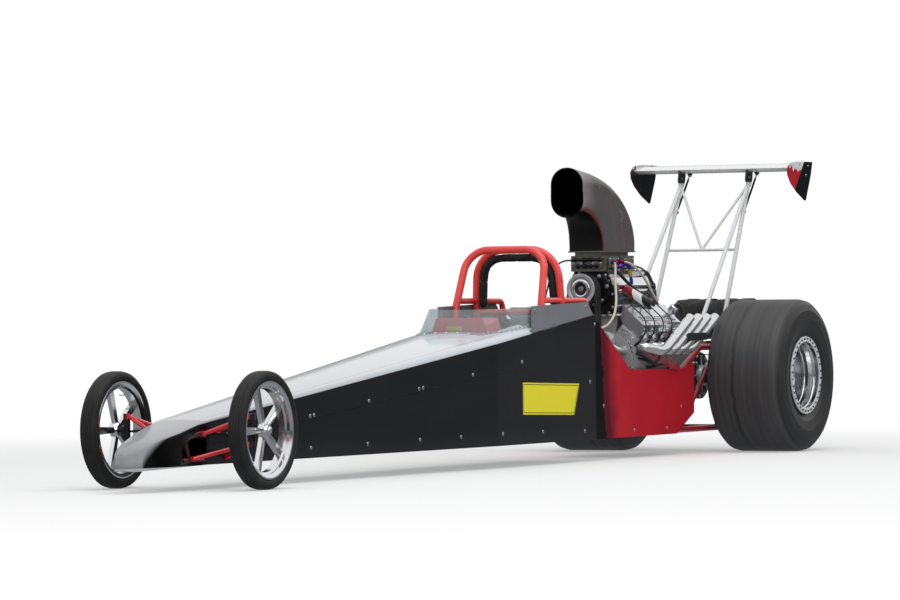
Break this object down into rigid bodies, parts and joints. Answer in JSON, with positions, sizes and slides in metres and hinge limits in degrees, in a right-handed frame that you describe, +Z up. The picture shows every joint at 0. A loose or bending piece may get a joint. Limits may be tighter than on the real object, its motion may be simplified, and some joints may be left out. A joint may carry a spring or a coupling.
{
  "type": "rear-engined drag racing car",
  "caption": "Long rear-engined drag racing car with a supercharged V8, bent zoomie headers, tall air scoop, high rear wing, wide slicks and thin spoked front wheels.",
  "frame": {"origin": "on the floor, midway between the nose tip and the wing's rear edge and midway between the rear tyres", "axes": "+X forward to the nose, +Y to the car's left, +Z up"},
  "size_m": [7.214, 1.573, 1.679],
  "materials": {
    "frame_red": "gloss",
    "cage_red": "gloss",
    "body_black": "gloss",
    "body_white": "gloss",
    "nose_silver": "metallic gloss",
    "body_red": "gloss",
    "cowl_grey": "satin",
    "sheet_alloy": "brushed",
    "clear_screen": "clear",
    "foam_black": "matte",
    "cast_dark": "cast",
    "cast_alloy": "cast",
    "polished": "polished",
    "chrome_pipe": "polished",
    "carbon_dark": "gloss",
    "belt_rubber": "matte",
    "hose_cream": "satin",
    "steel": "satin",
    "tyre": "matte",
    "wing_white": "gloss",
    "pack_nylon": "woven",
    "coil_red": "gloss"
  },
  "bodies": {
    "chassis": {"frame_front": "frame_red", "frame_cockpit": "frame_red", "frame_rear": "frame_red", "tie_down_tabs": "steel", "lower_side_panels": "body_black", "upper_side_panels": "body_black", "rear_side_panels": "body_red", "cowl_panels": "cowl_grey", "floor_pan": "sheet_alloy", "deck_panel": "body_white", "nose_cone": "nose_silver", "windshield": "clear_screen", "dash_panel": "cage_red", "roll_cage": "cage_red", "cage_padding": "foam_black", "seat": "carbon_dark", "seat_cushions": "foam_black", "firewall": "sheet_alloy", "steering_rack": "cast_alloy", "wishbones": "frame_red", "rear_axle": "cast_dark", "brake_calipers": "cast_alloy", "engine_block": "cast_dark", "cylinder_heads": "cast_alloy", "valve_covers": "polished", "motor_plates": "sheet_alloy", "gearbox": "cast_alloy", "intake_manifold": "cast_alloy", "blower": "polished", "blower_drive": "steel", "drive_belt": "belt_rubber", "carburettors": "cast_alloy", "air_scoop": "carbon_dark", "headers": "chrome_pipe", "header_straps": "cast_dark", "ignition_coil": "coil_red", "fuel_hoses": "hose_cream", "wing_element": "wing_white", "wing_end_plates": "wing_white", "wing_struts": "wing_white", "parachute_packs": "pack_nylon"},
    "steering_wheel_body": {"steering_wheel": "carbon_dark"},
    "tie_rod_body": {"tie_rods": "steel"},
    "knuckle_left_body": {"knuckle_left": "cast_alloy"},
    "knuckle_right_body": {"knuckle_right": "cast_alloy"},
    "front_wheel_left": {"front_rim_left": "polished", "front_tyre_left": "tyre"},
    "front_wheel_right": {"front_rim_right": "polished", "front_tyre_right": "tyre"},
    "rear_wheel_left": {"rear_rim_left": "polished", "rear_tyre_left": "tyre"},
    "rear_wheel_right": {"rear_rim_right": "polished", "rear_tyre_right": "tyre"}
  },
  "joints": [
    {"name": "steer_left", "type": "hinge", "parent": "chassis", "child": "knuckle_left_body", "pos_m": [2.947, 0.345, 0.283], "axis": [0, 0, 1], "range_deg": [-12, 12]},
    {"name": "steer_right", "type": "hinge", "parent": "chassis", "child": "knuckle_right_body", "pos_m": [2.947, -0.345, 0.283], "axis": [0, 0, 1], "range_deg": [-12, 12]},
    {"name": "rack_slide", "type": "slide", "parent": "chassis", "child": "tie_rod_body", "axis": [0, 1, 0], "range_m": [-0.02304, 0.02304]},
    {"name": "steering_wheel_turn", "type": "hinge", "parent": "chassis", "child": "steering_wheel_body", "pos_m": [-0.247, 0, 0.73015], "axis": [-0.9397, 0, 0.342], "range_deg": [-84, 84]},
    {"name": "roll_front_left", "type": "hinge", "parent": "knuckle_left_body", "child": "front_wheel_left", "pos_m": [2.947, 0.405, 0.283], "axis": [0, 1, 0], "continuous": true},
    {"name": "roll_front_right", "type": "hinge", "parent": "knuckle_right_body", "child": "front_wheel_right", "pos_m": [2.947, -0.405, 0.283], "axis": [0, 1, 0], "continuous": true},
    {"name": "roll_rear_left", "type": "hinge", "parent": "chassis", "child": "rear_wheel_left", "pos_m": [-2.847, 0.549, 0.436], "axis": [0, 1, 0], "continuous": true},
    {"name": "roll_rear_right", "type": "hinge", "parent": "chassis", "child": "rear_wheel_right", "pos_m": [-2.847, -0.549, 0.436], "axis": [0, 1, 0], "continuous": true}
  ],
  "couplings": [
    {"joint": "steer_right", "follows": "steer_left", "ratio": 1},
    {"joint": "rack_slide", "follows": "steer_left", "m_per_rad": -0.11},
    {"joint": "steering_wheel_turn", "follows": "steer_left", "ratio": 7},
    {"joint": "roll_rear_right", "follows": "roll_rear_left", "ratio": 1}
  ]
}
